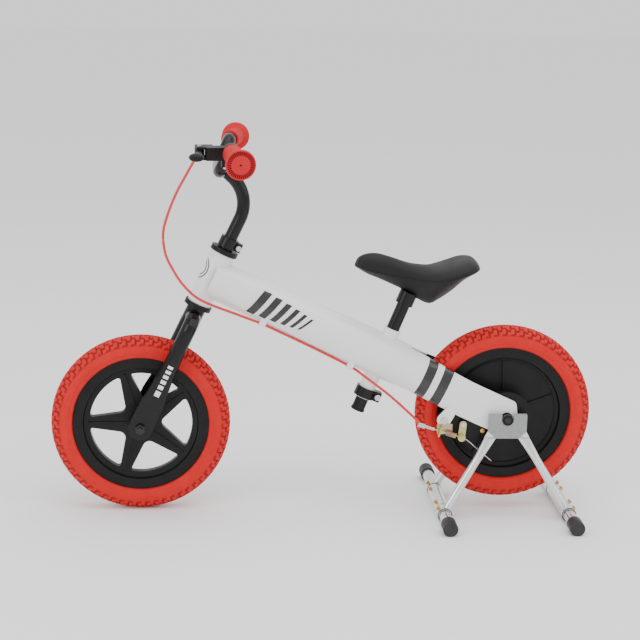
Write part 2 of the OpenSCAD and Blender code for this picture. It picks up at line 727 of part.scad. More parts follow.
module brake_lever() {
    stretch = lever_len / 86;
    color("black") at_lever() difference() {
        union() {
            translate([pivot_x, pivot_y, -7]) cylinder(r = 7, h = 13);
            loft([for (q = lever_stations) [for (j = [0:15]) let (a = j * 22.5)
                [pivot_x + q[1] + q[3] * cos(a), q[0] * stretch, q[2] + q[4] * sin(a)]]]);
        }
        translate([pivot_x, pivot_y, -20]) cylinder(r = 2.5 + run, h = 40);
    }
}

// A level plate between two heights whose outline is given as [x, y]
module yplate_z(z1, z2) { translate([0, 0, z1]) linear_extrude(z2 - z1) children(); }

// The lever's pivot pin and the clamp's bolt
module lever_bolts() {
    color("silver") at_lever() {
        translate([pivot_x, pivot_y, -11]) cylinder(r = 2.5, h = 22.5);
        translate([pivot_x, pivot_y, 10]) cylinder(r = 4, h = 2);
        translate([-9, 0, -25]) cylinder(r = 2.5, h = 14);
        translate([-9, 0, -25]) cylinder(r = 4.2, h = 3);
    }
}

// ---- Seat --------------------------------------------------------------------------------
saddle_at = [-147, 0, 378];

module seat_post() {
    color("black") on_seat() difference() {
        translate([0, 0, post_low + 4]) cylinder(d = post_d, h = post_len - 4);
        translate([0, 0, post_low]) cylinder(d = post_d - 4, h = post_len - 12);
    }
}

module post_plug() {
    color("black") on_seat() {
        translate([0, 0, post_low]) cylinder(d = post_d + 1.6, h = 4);
        translate([0, 0, post_low + 4]) cylinder(d = post_d - 4, h = 8);
    }
}

module saddle_bracket() {
    color("black") on_seat() difference() {
        translate([0, 0, post_top - 14]) cylinder(r = post_d / 2 + 4, h = 22);
        translate([0, 0, post_top - 15]) cylinder(d = post_d, h = 15);
    }
}

// Saddle stations as shares of its length: [share, top, seam, bottom, half width as a share]
saddle_stations = [[0, 33, 31, 29, 0.1], [0.03, 44, 30, 25, 0.24], [0.1, 50, 25, 16, 0.31], [0.19, 50, 21, 8, 0.34],
    [0.3, 43, 16, -3, 0.37], [0.42, 34, 12, -16, 0.44], [0.5, 30, 10, -28, 0.55], [0.6, 27, 9, -37, 0.72],
    [0.68, 29, 11, -30, 0.86], [0.78, 34, 16, -16, 0.97], [0.87, 39, 21, 1, 1], [0.95, 39, 24, 12, 0.86],
    [0.99, 33, 25, 20, 0.6], [1, 28, 26, 24, 0.4]];

// Half of a saddle section: an arch of a given rise on the seam, drawn in at its crown by a share
function saddle_ring(q, seam, rise_z, draw) = let (w = q[4] * saddle_w / 2)
    [for (j = [0:12]) let (a = 15 * j)
        [(q[0] - 0.5) * saddle_len, w * cos(a) * (1 - draw * sin(a)), seam + rise_z * sin(a)]];

module saddle_pad() {
    color("black") in_bike() translate(saddle_at)
        loft([for (q = saddle_stations) saddle_ring(q, q[2] + 0.1, q[1] - q[2] - 0.1, 0)]);
}

module saddle_shell() {
    color("dimgray") difference() {
        in_bike() translate(saddle_at) mirror([0, 0, 1])
            loft([for (q = saddle_stations) saddle_ring(q, -q[2], q[2] - q[3], 0.5)]);
        on_seat() translate([0, 0, post_top - 60]) cylinder(r = post_d / 2 + 4, h = 68);
    }
}

// ---- Brake arm and wire ------------------------------------------------------------------
clamp_xz = arm_pivot + [-3, -arm_len];

module brake_arm() {
    color("goldenrod") at_rear() difference() {
        yplate(-arm_y - 3, -arm_y) hull() {
            translate(arm_pivot) circle(r = 6, $fn = 32);
            translate(clamp_xz) circle(r = 6, $fn = 32);
        }
        translate([arm_pivot.x, 0, arm_pivot.y]) ybar(2.6 + run, -70, 0);
        translate([clamp_xz.x, 0, clamp_xz.y]) ybar(2.5, -70, 0);
    }
}

// Bolt and washer that pinch the wire's end against the arm
module wire_clamp() {
    color("goldenrod") at_rear() translate([clamp_xz.x, 0, clamp_xz.y]) {
        ybar(2.5, -cable_y - 1, -arm_y);
        ybar(6.5, -cable_y - 1, -arm_y - 3);
        translate([0, -cable_y - 4, 0]) rotate([-90, 0, 0]) cylinder(d = 9.2, h = 3, $fn = 6);
    }
}

module brake_wire() { color("silver") in_bike() cord(wire_run, 0.8, 3, 8); }

// Return spring on the bare wire between the stop and the arm
module return_spring() {
    a = wire_run[0] + 0.75 * (wire_run[1] - wire_run[0]);
    b = wire_run[1] + 0.38 * (wire_run[2] - wire_run[1]);
    turns = 7;
    color("goldenrod") in_bike() loft([for (i = [0:turns * 8]) let (f = i / (turns * 8), w = (b - a) / norm(b - a),
        u = cross(w, [0, 1, 0]) / norm(cross(w, [0, 1, 0])), v = cross(w, u), g = f * turns * 360,
        out = cos(g) * u + sin(g) * v, c = a + (b - a) * f + 4 * out)
        [for (j = [0:5]) c + 0.65 * (cos(j * 60) * out - sin(j * 60) * w)]]);
}

// ---- Stand -------------------------------------------------------------------------------
cross_xs = [front_cross_x, rear_cross_x];

module cross_tubes() {
    color("silver") for (x = cross_xs) translate([x, 0, cross_z])
        difference() {
            ybar(cross_d / 2, -stand_w / 2 + 4, stand_w / 2 - 4);
            ybar(cross_d / 2 - 1.5, -stand_w, stand_w);
        }
}

module joiner_sleeves() {
    color("silver") for (x = cross_xs) translate([x, collar_shift, cross_z]) difference() {
        ybar(sleeve_r, -joiner_len / 2, joiner_len / 2);
        ybar(cross_d / 2, -joiner_len, joiner_len);
    }
}

module rubber_feet() {
    color("black") for (x = cross_xs, s = sides) translate([x, 0, cross_z]) difference() {
        ybar(foot_d / 2, s * (stand_w / 2 - foot_len), s * stand_w / 2);
        ybar(cross_d / 2, s * (stand_w / 2 - foot_len - 1), s * (stand_w / 2 - 4));
        ybar(cross_d / 2 - 1.5, s * (stand_w / 2 - 40), s * (stand_w / 2 - 3.9));
    }
}

function collar_pos(s) = s * collar_y + collar_shift;

// Slotted plate that carries one end of the rear axle
module side_plate(s) {
    py = s * plate_y;
    color("lightgray") translate([rear_x, 0, 0]) difference() {
        yplate(py - plate_t / 2, py + plate_t / 2)
            rounded([[-plate_w / 2 + 13, plate_low], [-plate_w / 2, plate_low + 12], [-plate_w / 2, plate_top],
                [plate_w / 2, plate_top], [plate_w / 2, plate_low + 12], [plate_w / 2 - 13, plate_low]], 2);
        translate([0, 0, axle_h]) ybar(slot_r, py - 20, py + 20);
        translate([-slot_r, py - 20, axle_h]) cube([2 * slot_r, 40, 40]);
    }
}

// Two legs, flattened behind the plate at the top and welded to the collars on the cross tubes
module side_legs(s) {
    py = s * plate_y;
    back = py - s * plate_t / 2;
    color("silver") difference() {
        for (i = [0, 1]) {
            top = [rear_x + sides[i] * 24, py, plate_low + 8];
            foot = [cross_xs[i], collar_pos(s), cross_z];
            neck = top + 0.3 * (foot - top);
            rod(foot, neck, leg_d / 2);
            hull() {
                translate(neck) sphere(d = leg_d + 0.6, $fn = 24);
                translate([top.x, back - s, top.z]) cube([16, 4, 8], center = true);
            }
            translate([cross_xs[i], 0, cross_z])
                ybar(sleeve_r, collar_pos(s) - collar_len / 2, collar_pos(s) + collar_len / 2);
        }
        translate([rear_x - 50, min(back, back + s * 30), plate_low]) cube([100, 30, 40]);
        for (x = cross_xs) translate([x, 0, cross_z]) ybar(cross_d / 2 + run, -stand_w, stand_w);
    }
}

module left_plate() { side_plate(-1); }
module right_plate() { side_plate(1); }
module left_legs() { side_legs(-1); }
module right_legs() { side_legs(1); }

// One gold thumb screw on each cross tube, at one distance to the side
module thumb_screws(y) {
    color("gold") for (i = [0, 1]) translate([cross_xs[i], y + collar_shift, cross_z])
        rotate([0, sides[i] * screw_lean, 0]) translate([0, 0, sleeve_r - 0.3]) cylinder(r = 3, h = 4.5);
}

module left_screws() { thumb_screws(-collar_y); }
module right_screws() { thumb_screws(collar_y); }
module joiner_screws() { for (s = sides) thumb_screws(s * joiner_screw_y); }

module front_tyre() { on_steer() tyre(); }
module rear_tyre() { at_rear() tyre(); }
module front_bearings() { on_steer() bearings(front_hub_half); }
module rear_bearings() { at_rear() bearings(rear_hub_half); }

front_tyre();
front_rim();
front_bearings();
front_axle();
front_nuts();
rear_tyre();
rear_rim();
rear_bearings();
brake_drum();
rear_axle();
rear_nuts();
axle_caps();
head_tube();
main_tube();
seat_tube();
left_stay();
right_stay();
cable_guides();
headset_cups();
seat_clamp();
frame_bolts();
brake_tab();
brake_cover();
cable_stop();
rear_adjuster();
rear_cable();
front_cable_lower();
front_cable_upper();
steerer();
left_blade();
right_blade();
stem_collar();
stem_bolt();
riser();
crossbar();
left_grip();
right_grip();
lever_bracket();
lever_adjuster();
lever_bolts();
brake_lever();
seat_post();
post_plug();
saddle_bracket();
saddle_shell();
saddle_pad();
brake_arm();
wire_clamp();
brake_wire();
return_spring();
cross_tubes();
joiner_sleeves();
joiner_screws();
rubber_feet();
left_plate();
left_legs();
left_screws();
right_plate();
right_legs();
right_screws();
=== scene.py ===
import math
import bmesh
import bpy
import numpy as np
from mathutils import Matrix, Vector


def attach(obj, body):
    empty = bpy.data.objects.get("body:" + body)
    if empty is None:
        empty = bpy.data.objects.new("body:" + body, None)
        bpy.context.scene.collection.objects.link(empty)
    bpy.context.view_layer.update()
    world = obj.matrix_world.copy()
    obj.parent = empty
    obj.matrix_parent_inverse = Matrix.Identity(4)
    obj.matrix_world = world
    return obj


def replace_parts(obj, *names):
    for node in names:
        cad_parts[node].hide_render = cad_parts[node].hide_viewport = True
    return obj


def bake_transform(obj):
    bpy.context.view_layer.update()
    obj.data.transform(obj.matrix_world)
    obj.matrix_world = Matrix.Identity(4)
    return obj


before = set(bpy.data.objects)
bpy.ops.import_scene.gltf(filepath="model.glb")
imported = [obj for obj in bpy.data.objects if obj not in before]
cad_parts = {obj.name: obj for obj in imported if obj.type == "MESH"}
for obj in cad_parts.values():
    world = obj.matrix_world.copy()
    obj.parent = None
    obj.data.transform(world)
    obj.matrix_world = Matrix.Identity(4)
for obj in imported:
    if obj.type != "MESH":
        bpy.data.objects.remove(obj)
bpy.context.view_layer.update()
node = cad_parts

# ---- The stand's tubes ----
# Cross tubes, middle sleeves and bent legs of steel tube, bright plated. The tube is drawn,
# so its shine runs in faint lines, and the plating is a little cloudy where it was welded.


def material(name, slot_color, rough, metal=0.0, coat=0.0, spec=0.5):
    """A Principled material with its plain values set on the shader's own sockets."""
    made = bpy.data.materials.new(name)
    made.use_nodes = True
    shader = made.node_tree.nodes["Principled BSDF"]
    shader.inputs["Base Color"].default_value = (*slot_color, 1)
    shader.inputs["Roughness"].default_value = rough
    shader.inputs["Metallic"].default_value = metal
    shader.inputs["Coat Weight"].default_value = coat
    shader.inputs["Coat Roughness"].default_value = 0.08
    shader.inputs["Specular IOR Level"].default_value = spec
    return made


def wire(tree, a, out, b, into):
    tree.links.new(a.outputs[out], b.inputs[into])


def surface_group():
    """Cloudy variation and fine grain that every finish on this object shares."""
    tree = bpy.data.node_groups.new("Surface grain", "ShaderNodeTree")
    sock = tree.interface.new_socket
    for title, kind, low in (("Color", "NodeSocketColor", None), ("Shade", "NodeSocketFloat", 0.1),
                             ("Cloud Scale", "NodeSocketFloat", 30), ("Grain Scale", "NodeSocketFloat", 1500),
                             ("Grain Height", "NodeSocketFloat", 0.0001), ("Smooth", "NodeSocketFloat", 0.3),
                             ("Rough", "NodeSocketFloat", 0.5), ("Stretch", "NodeSocketVector", None)):
        s = sock(name=title, in_out="INPUT", socket_type=kind)
        if low is not None:
            s.default_value = low
    sock(name="Color", in_out="OUTPUT", socket_type="NodeSocketColor")
    sock(name="Roughness", in_out="OUTPUT", socket_type="NodeSocketFloat")
    sock(name="Normal", in_out="OUTPUT", socket_type="NodeSocketVector")
    new = tree.nodes.new
    ins, outs, place = new("NodeGroupInput"), new("NodeGroupOutput"), new("ShaderNodeTexCoord")
    stretch = new("ShaderNodeVectorMath")
    stretch.operation = "MULTIPLY"
    wire(tree, place, "Object", stretch, 0)
    wire(tree, ins, "Stretch", stretch, 1)
    cloud, grain = new("ShaderNodeTexNoise"), new("ShaderNodeTexNoise")
    cloud.inputs["Detail"].default_value = 5
    grain.inputs["Detail"].default_value = 3
    wire(tree, stretch, 0, cloud, "Vector")
    wire(tree, stretch, 0, grain, "Vector")
    wire(tree, ins, "Cloud Scale", cloud, "Scale")
    wire(tree, ins, "Grain Scale", grain, "Scale")
    span = new("ShaderNodeMapRange")
    wire(tree, cloud, "Fac", span, "Value")
    span.inputs["From Min"].default_value = 0.3
    span.inputs["From Max"].default_value = 0.7
    wire(tree, ins, "Smooth", span, "To Min")
    wire(tree, ins, "Rough", span, "To Max")
    wire(tree, span, "Result", outs, "Roughness")
    dark = new("ShaderNodeMath")
    dark.operation = "MULTIPLY"
    wire(tree, cloud, "Fac", dark, 0)
    wire(tree, ins, "Shade", dark, 1)
    tone = new("ShaderNodeMix")
    tone.data_type = "RGBA"
    tone.inputs[7].default_value = (0, 0, 0, 1)
    wire(tree, dark, 0, tone, 0)
    wire(tree, ins, "Color", tone, 6)
    tree.links.new(tone.outputs[2], outs.inputs["Color"])
    bump = new("ShaderNodeBump")
    bump.inputs["Strength"].default_value = 0.6
    wire(tree, grain, "Fac", bump, "Height")
    wire(tree, ins, "Grain Height", bump, "Distance")
    wire(tree, bump, "Normal", outs, "Normal")
    return tree


grain_tree = surface_group()


def grained(made, color, shade=0.1, cloud=30, grain=1500, height=0.0001, smooth=0.3, rough=0.5, stretch=(1, 1, 1)):
    """Puts the shared grain in a material. Returns the group's node and the shader."""
    tree = made.node_tree
    group, shader = tree.nodes.new("ShaderNodeGroup"), tree.nodes["Principled BSDF"]
    group.node_tree = grain_tree
    for title, value in (("Color", (*color, 1)), ("Shade", shade), ("Cloud Scale", cloud), ("Grain Scale", grain),
                         ("Grain Height", height), ("Smooth", smooth), ("Rough", rough), ("Stretch", stretch)):
        group.inputs[title].default_value = value
    wire(tree, group, "Color", shader, "Base Color")
    wire(tree, group, "Roughness", shader, "Roughness")
    wire(tree, group, "Normal", shader, "Normal")
    return group, shader


def finish(names, made):
    for n in names:
        node[n].data.materials.clear()
        node[n].data.materials.append(made)


bright_tube = material("bright plated tube", (0.74, 0.75, 0.77), 0.22, metal=0.9)
grained(bright_tube, (0.80, 0.81, 0.83), 0.14, 25, 900, 0.00006, 0.16, 0.34, (1, 0.15, 1))
finish(["cross_tubes", "joiner_sleeves", "left_legs", "right_legs"], bright_tube)

# ---- Slotted side plates ----
# Cut from 4 mm steel sheet and left with a grey cast-looking coat, gritty to the touch.
# Each is welded to the flattened tops of its two legs and carries an end of the rear axle.
grit_grey = material("gritty grey coat", (0.32, 0.33, 0.34), 0.5, metal=0.35)
grained(grit_grey, (0.36, 0.365, 0.37), 0.35, 260, 1900, 0.0004, 0.42, 0.62)
finish(["left_plate", "right_plate"], grit_grey)

# ---- Rubber feet and the rings at the collars ----
# Moulded black rubber cups pushed over the cross tubes' ends, and a thin black ring round the
# tube at the outer end of each collar.
soft_black = material("moulded black rubber", (0.02, 0.02, 0.021), 0.6)
grained(soft_black, (0.024, 0.023, 0.023), 0.4, 60, 1400, 0.0001, 0.45, 0.75)
finish(["rubber_feet"], soft_black)


def piece(name, verts, faces, made, smooth=True):
    """A mesh object at the origin from points in metres, its faces turned outwards."""
    mesh = bpy.data.meshes.new(name)
    mesh.from_pydata([tuple(v) for v in verts], [], [tuple(f) for f in faces])
    mesh.materials.append(made)
    mesh.validate()
    shape = bmesh.new()
    shape.from_mesh(mesh)
    bmesh.ops.recalc_face_normals(shape, faces=shape.faces)
    shape.to_mesh(mesh)
    shape.free()
    mesh.polygons.foreach_set("use_smooth", [smooth] * len(mesh.polygons))
    made_object = bpy.data.objects.new(name, mesh)
    bpy.context.scene.collection.objects.link(made_object)
    return made_object


def placed(points, matrix):
    """Points given in millimetres in a part's own frame, put in the object's frame in metres."""
    p = np.asarray(points, float).reshape(-1, 3) * 0.001
    m = np.array(matrix)
    return p @ m[:3, :3].T + m[:3, 3]


def turned(name, profile, matrix, made, steps=96, closed=True, sharp=None):
    """A profile of (radius, distance along +Y) turned about Y, in millimetres."""
    around = np.linspace(0, 2 * math.pi, steps, endpoint=False)
    pts = [(r * math.cos(a), y, r * math.sin(a)) for r, y in profile for a in around]
    rows = len(profile)
    faces = []
    for i in range(rows if closed else rows - 1):
        for j in range(steps):
            a, b = i * steps + j, i * steps + (j + 1) % steps
            k = ((i + 1) % rows) * steps
            faces.append((a, b, k + (j + 1) % steps, k + j))
    made_object = piece(name, placed(pts, matrix), faces, made)
    if sharp:
        made_object.data.set_sharp_from_angle(angle=math.radians(sharp))
    return made_object


def ring_section(radius, y, half, steps=12):
    return [(radius + half * math.cos(a), y + half * math.sin(a)) for a in np.linspace(0, 2 * math.pi, steps, endpoint=False)]


def joined(name, parts):
    """Several pieces with one material made one mesh object."""
    verts, faces, count = [], [], 0
    for p in parts:
        verts += [v.co[:] for v in p.data.vertices]
        faces += [[count + i for i in f.vertices] for f in p.data.polygons]
        count = len(verts)
    made, smooth = p.data.materials[0], p.data.polygons[0].use_smooth
    for p in parts:
        bpy.data.objects.remove(p)
    return piece(name, verts, faces, made, smooth)


rear_x, axle_z = 306.603, 169.0
cross_x = (rear_x - 105.1, rear_x + 104.9)
for side, ring_y in (("left_side", -91.6), ("right_side", 47.2)):
    rings = [turned("ring", ring_section(11.6, ring_y, 0.8), Matrix.Translation((x * 0.001, 0, 0.0125)), soft_black)
             for x in cross_x]
    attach(joined(side + "_rings", rings), side)

# ---- Thumb screws ----
# Small brass-plated thumb screws with coined edges, which lock the collars and the sleeves on
# the cross tubes. One pattern, made once and set at every screw's place.
brass_gold = material("yellow plated screw", (0.72, 0.45, 0.12), 0.28, metal=1)
grained(brass_gold, (0.78, 0.50, 0.14), 0.3, 200, 3000, 0.00003, 0.2, 0.4)


def geometry_tree(title, numbers):
    """A Geometry Nodes tree with a mesh input, number inputs and a mesh output."""
    tree = bpy.data.node_groups.new(title, "GeometryNodeTree")
    tree.interface.new_socket(name="Geometry", in_out="INPUT", socket_type="NodeSocketGeometry")
    tree.interface.new_socket(name="Material", in_out="INPUT", socket_type="NodeSocketMaterial")
    for name, value in numbers:
        kind = "NodeSocketInt" if isinstance(value, int) else "NodeSocketFloat"
        tree.interface.new_socket(name=name, in_out="INPUT", socket_type=kind).default_value = value
    tree.interface.new_socket(name="Geometry", in_out="OUTPUT", socket_type="NodeSocketGeometry")
    return tree, tree.nodes.new("NodeGroupInput"), tree.nodes.new("NodeGroupOutput")


def close_tree(tree, ins, outs, last, out="Instances"):
    real, paint = tree.nodes.new("GeometryNodeRealizeInstances"), tree.nodes.new("GeometryNodeSetMaterial")
    wire(tree, last, out, real, "Geometry")
    wire(tree, real, "Geometry", paint, "Geometry")
    wire(tree, ins, "Material", paint, "Material")
    wire(tree, paint, "Geometry", outs, "Geometry")


def grown(name, points, normals, tree, made, values):
    """Runs a tree on points that each carry a direction, and keeps the plain mesh."""
    mesh = bpy.data.meshes.new(name)
    mesh.from_pydata([tuple(p) for p in points], [], [])
    way = mesh.attributes.new("way", "FLOAT_VECTOR", "POINT")
    way.data.foreach_set("vector", np.asarray(normals, np.float32).ravel())
    seed = bpy.data.objects.new(name, mesh)
    bpy.context.scene.collection.objects.link(seed)
    mod = seed.modifiers.new("grow", "NODES")
    mod.node_group = tree
    ids = {i.name: i.identifier for i in tree.interface.items_tree if i.in_out == "INPUT"}
    mod[ids["Material"]] = made
    for key, value in values.items():
        mod[ids[key]] = value
    bpy.context.view_layer.update()
    plain = bpy.data.meshes.new_from_object(seed.evaluated_get(bpy.context.evaluated_depsgraph_get()))
    seed.modifiers.clear()
    seed.data = plain
    plain.materials.clear()
    plain.materials.append(made)
    return seed


def screw_tree():
    """A coined head of small ribs and a domed top, set along each point's direction."""
    tree, ins, outs = geometry_tree("Thumb screws", (("Head Radius", 0.0032), ("Head Height", 0.0032),
                                                     ("Ribs", 18), ("Lift", 0.0015)))
    new = tree.nodes.new
    head, rib, circle = new("GeometryNodeMeshCylinder"), new("GeometryNodeMeshCylinder"), new("GeometryNodeMeshCircle")
    dome = new("GeometryNodeMeshUVSphere")
    head.inputs["Vertices"].default_value = 24
    rib.inputs["Vertices"].default_value = 6
    rib.inputs["Radius"].default_value = 0.0003
    dome.inputs["Segments"].default_value = 20
    dome.inputs["Rings"].default_value = 8
    for n in (head, rib):
        wire(tree, ins, "Head Height", n, "Depth")
    wire(tree, ins, "Head Radius", head, "Radius")
    wire(tree, ins, "Head Radius", circle, "Radius")
    wire(tree, ins, "Ribs", circle, "Vertices")
    small = new("ShaderNodeMath")
    small.operation = "MULTIPLY"
    small.inputs[1].default_value = 0.82
    wire(tree, ins, "Head Radius", small, 0)
    wire(tree, small, 0, dome, "Radius")
    ribs, join, lift = new("GeometryNodeInstanceOnPoints"), new("GeometryNodeJoinGeometry"), new("GeometryNodeTransform")
    tree.links.new(circle.outputs["Mesh"], ribs.inputs["Points"])
    tree.links.new(rib.outputs["Mesh"], ribs.inputs["Instance"])
    flat = new("GeometryNodeTransform")
    flat.inputs["Scale"].default_value = (1, 1, 0.35)
    up = new("ShaderNodeCombineXYZ")
    half = new("ShaderNodeMath")
    half.operation = "MULTIPLY"
    half.inputs[1].default_value = 0.5
    wire(tree, ins, "Head Height", half, 0)
    wire(tree, half, 0, up, "Z")
    wire(tree, up, 0, flat, "Translation")
    tree.links.new(dome.outputs["Mesh"], flat.inputs["Geometry"])
    for source in (flat, ribs, head):
        tree.links.new(source.outputs[0], join.inputs[0])
    raised = new("ShaderNodeCombineXYZ")
    total = new("ShaderNodeMath")
    wire(tree, half, 0, total, 0)
    wire(tree, ins, "Lift", total, 1)
    wire(tree, total, 0, raised, "Z")
    tree.links.new(join.outputs[0], lift.inputs["Geometry"])
    wire(tree, raised, 0, lift, "Translation")
    way, align, place = new("GeometryNodeInputNamedAttribute"), new("FunctionNodeAlignRotationToVector"), new("GeometryNodeInstanceOnPoints")
    way.data_type = "FLOAT_VECTOR"
    way.inputs["Name"].default_value = "way"
    align.axis = "Z"
    tree.links.new(way.outputs["Attribute"], align.inputs["Vector"])
    wire(tree, ins, "Geometry", place, "Points")
    tree.links.new(lift.outputs[0], place.inputs["Instance"])
    tree.links.new(align.outputs[0], place.inputs["Rotation"])
    close_tree(tree, ins, outs, place)
    return tree


screws = screw_tree()
lean = math.radians(50)
for name, body, rows in (("left_screws", "left_side", (-78,)), ("right_screws", "right_side", (60,)),
                         ("joiner_screws", "stand", (-45, 27))):
    spots, ways = [], []
    for x, s in zip(cross_x, (-1, 1)):
        for y in rows:
            way = Vector((s * math.sin(lean), 0, math.cos(lean)))
            spots.append(Vector((x, y, 12.5)) * 0.001 + way * 0.0114)
            ways.append(way)
    gold = grown(name + "_gold", spots, ways, screws, brass_gold, {"Lift": 0.0006})
    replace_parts(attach(gold, body), name)

# ---- Axles, bearings and nuts ----
# Steel axles, black in front and zinc plated behind, with black nuts outside. Each end of the
# rear axle wears a black plastic cap that drops into the stand, over a domed nut.
zinc = material("zinc plate", (0.6, 0.6, 0.6), 0.3, metal=1)
grained(zinc, (0.66, 0.66, 0.67), 0.25, 120, 2500, 0.00003, 0.22, 0.42)
hard_black = material("moulded black plastic", (0.007, 0.007, 0.007), 0.4, spec=0.22)
grained(hard_black, (0.008, 0.0075, 0.0075), 0.3, 40, 1700, 0.00008, 0.34, 0.5)
finish(["front_bearings", "rear_bearings", "rear_axle"], zinc)
black_steel = material("black nut", (0.02, 0.02, 0.021), 0.3, metal=0.4)
grained(black_steel, (0.025, 0.025, 0.027), 0.3, 90, 2500, 0.00003, 0.22, 0.4)
finish(["front_axle", "rear_nuts", "front_nuts", "brake_drum"], black_steel)
finish(["axle_caps"], hard_black)
REAR = Matrix.Translation((rear_x * 0.001, 0, axle_z * 0.001)) @ Matrix.Rotation(-math.asin(19 / 613.5), 4, "Y")
STEER = REAR @ Matrix.Translation((-0.6135, 0, 0)) @ Matrix.Rotation(math.radians(27), 4, "Y")


def capped(profile):
    """Closes a turned profile at the axis."""
    return [(0.01, profile[0][1])] + profile + [(0.01, profile[-1][1])]


for s in (-1, 1):
    nut = turned("axle_end_nut", capped([(5.6, s * 62.0), (5.6, s * 63.0), (4.6, s * 63.7), (2.2, s * 64.0)]), REAR, black_steel, 6)
    nut.data.polygons.foreach_set("use_smooth", [False] * len(nut.data.polygons))
    nut.name = "axle_end_nut_left" if s < 0 else "axle_end_nut_right"
    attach(nut, "axle")

# ---- Tyres ----
# Solid foam tyres moulded in one piece and stretched over the rims. Sixty hooked blocks a side
# are cut by zig-zag grooves, and a smooth sidewall ends in a lip on the rim.
foam_red = material("moulded foam", (0.6, 0.012, 0.011), 0.55, spec=0.2)
foam_parts = grained(foam_red, (0.64, 0.014, 0.012), 0.22, 70, 900, 0.00012, 0.46, 0.64)


def paint_recess_shade(made, parts, color):
    """Paints shade into a grained material: darkens it where the mesh's own "deep" attribute is 1, as painted shade in
    sunk grooves, slots and holes.
    """
    group, shader = parts
    tree = made.node_tree
    deep, mix = tree.nodes.new("ShaderNodeAttribute"), tree.nodes.new("ShaderNodeMix")
    deep.attribute_name = "deep"
    mix.data_type = "RGBA"
    mix.inputs[7].default_value = (*color, 1)
    wire(tree, deep, "Fac", mix, 0)
    wire(tree, group, "Color", mix, 6)
    tree.links.new(mix.outputs[2], shader.inputs["Base Color"])


# Painted shade: the tyre's cut grooves are painted dark red for the shade that falls in them.
paint_recess_shade(foam_red, foam_parts, (0.16, 0.003, 0.003))


def hook(u):
    """A wave of square hooks with sloped flanks, from -1 to 1, once each pitch."""
    return np.clip(2.6 * np.sin(2 * math.pi * u), -1, 1)


def groove(distance, half):
    return np.clip(1.5 - np.abs(distance) / half, 0, 1)


def tread_depth(u, v):
    """How deep the mould cut at pitch u and section angle v in degrees, from 0 to 1."""
    side = np.sign(v)
    centre = groove(v - 8 * hook(u), 3.8)
    shoulder = groove(np.abs(v) - 36 - 7 * hook(u + 0.25 * side), 3.8)
    across = groove(np.mod(u + 0.25 * side + 0.5, 1) - 0.5, 0.07) * (np.abs(v) < 36) * (np.abs(v) > 8)
    outer = groove(np.mod(u - 0.25 * side + 0.5, 1) - 0.5, 0.08) * (np.abs(v) > 36) * (np.abs(v) < 60)
    edge = np.clip((np.abs(v) - 59 - 4 * hook(u - 0.25)) / 3.5, 0, 1) * 0.75
    return np.clip(np.maximum.reduce([centre, shoulder, across, outer, edge]), 0, 1)


def tyre(name, matrix):
    pitches, fine = 60, 16
    cols = pitches * fine
    v = np.concatenate([np.linspace(-119.8, -67, 11)[:-1], np.linspace(-67, 67, 46), np.linspace(67, 119.8, 11)[1:]])
    u = np.arange(cols) / fine
    grid_v, grid_u = np.meshgrid(v, u, indexing="ij")
    lip = 0.8 * groove(np.abs(grid_v) - 103, 2.4)
    cut_in = tread_depth(grid_u, grid_v)
    radius = 24.25 - 2.3 * cut_in - lip
    # Painted shade: dark is 1 in the tread's cut grooves, which the foam material darkens as painted shade.
    dark = 0.8 * cut_in * (np.abs(grid_v) < 66)
    r = 125.75 + radius * np.cos(np.radians(grid_v))
    y = radius * np.sin(np.radians(grid_v))
    for extra in ((114.0, 12.0), (107.4, 8.8), (107.4, -8.8), (114.0, -12.0)):
        r, y = np.vstack([r, np.full(cols, extra[0])]), np.vstack([y, np.full(cols, extra[1])])
        dark = np.vstack([dark, np.zeros(cols)])
    a = np.broadcast_to(2 * math.pi * np.arange(cols) / cols, r.shape)
    pts = np.stack([r * np.cos(a), y, r * np.sin(a)], -1)
    rows = r.shape[0]
    i, j = np.meshgrid(np.arange(rows), np.arange(cols), indexing="ij")
    k, m = (i + 1) % rows, (j + 1) % cols
    faces = np.stack([i * cols + j, i * cols + m, k * cols + m, k * cols + j], -1).reshape(-1, 4)
    made = piece(name, placed(pts, matrix), faces.tolist(), foam_red)
    made.data.attributes.new("deep", "FLOAT", "POINT").data.foreach_set("value", dark.astype(np.float32).ravel())
    return made


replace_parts(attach(tyre("front_foam_tyre", STEER), "front_wheel"), "front_tyre")
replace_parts(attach(tyre("rear_foam_tyre", REAR), "rear_wheel"), "rear_tyre")

# ---- Rims ----
# Injection-moulded black plastic: a spoked front wheel and a solid rear disc. Fine ribs from
# the mould run across the rim's outer band.
finish(["front_rim", "rear_rim"], hard_black)


def rib_tree():
    """Thin bars set on a circle round the Y axis, each pointing at the middle."""
    tree, ins, outs = geometry_tree("Rim ribs", (("Ribs", 150), ("Radius", 0.105), ("Length", 0.012),
                                                 ("Width", 0.0007), ("Height", 0.0012)))
    new = tree.nodes.new
    circle, bar, size, place = (new("GeometryNodeMeshCircle"), new("GeometryNodeMeshCube"),
                                new("ShaderNodeCombineXYZ"), new("GeometryNodeInstanceOnPoints"))
    wire(tree, ins, "Ribs", circle, "Vertices")
    wire(tree, ins, "Radius", circle, "Radius")
    for key, axis in (("Length", "X"), ("Width", "Y"), ("Height", "Z")):
        wire(tree, ins, key, size, axis)
    wire(tree, size, 0, bar, "Size")
    where, align = new("GeometryNodeInputPosition"), new("FunctionNodeAlignRotationToVector")
    align.axis = "X"
    tree.links.new(where.outputs[0], align.inputs["Vector"])
    tree.links.new(circle.outputs["Mesh"], place.inputs["Points"])
    tree.links.new(bar.outputs["Mesh"], place.inputs["Instance"])
    tree.links.new(align.outputs[0], place.inputs["Rotation"])
    close_tree(tree, ins, outs, place)
    return tree


ribs = rib_tree()


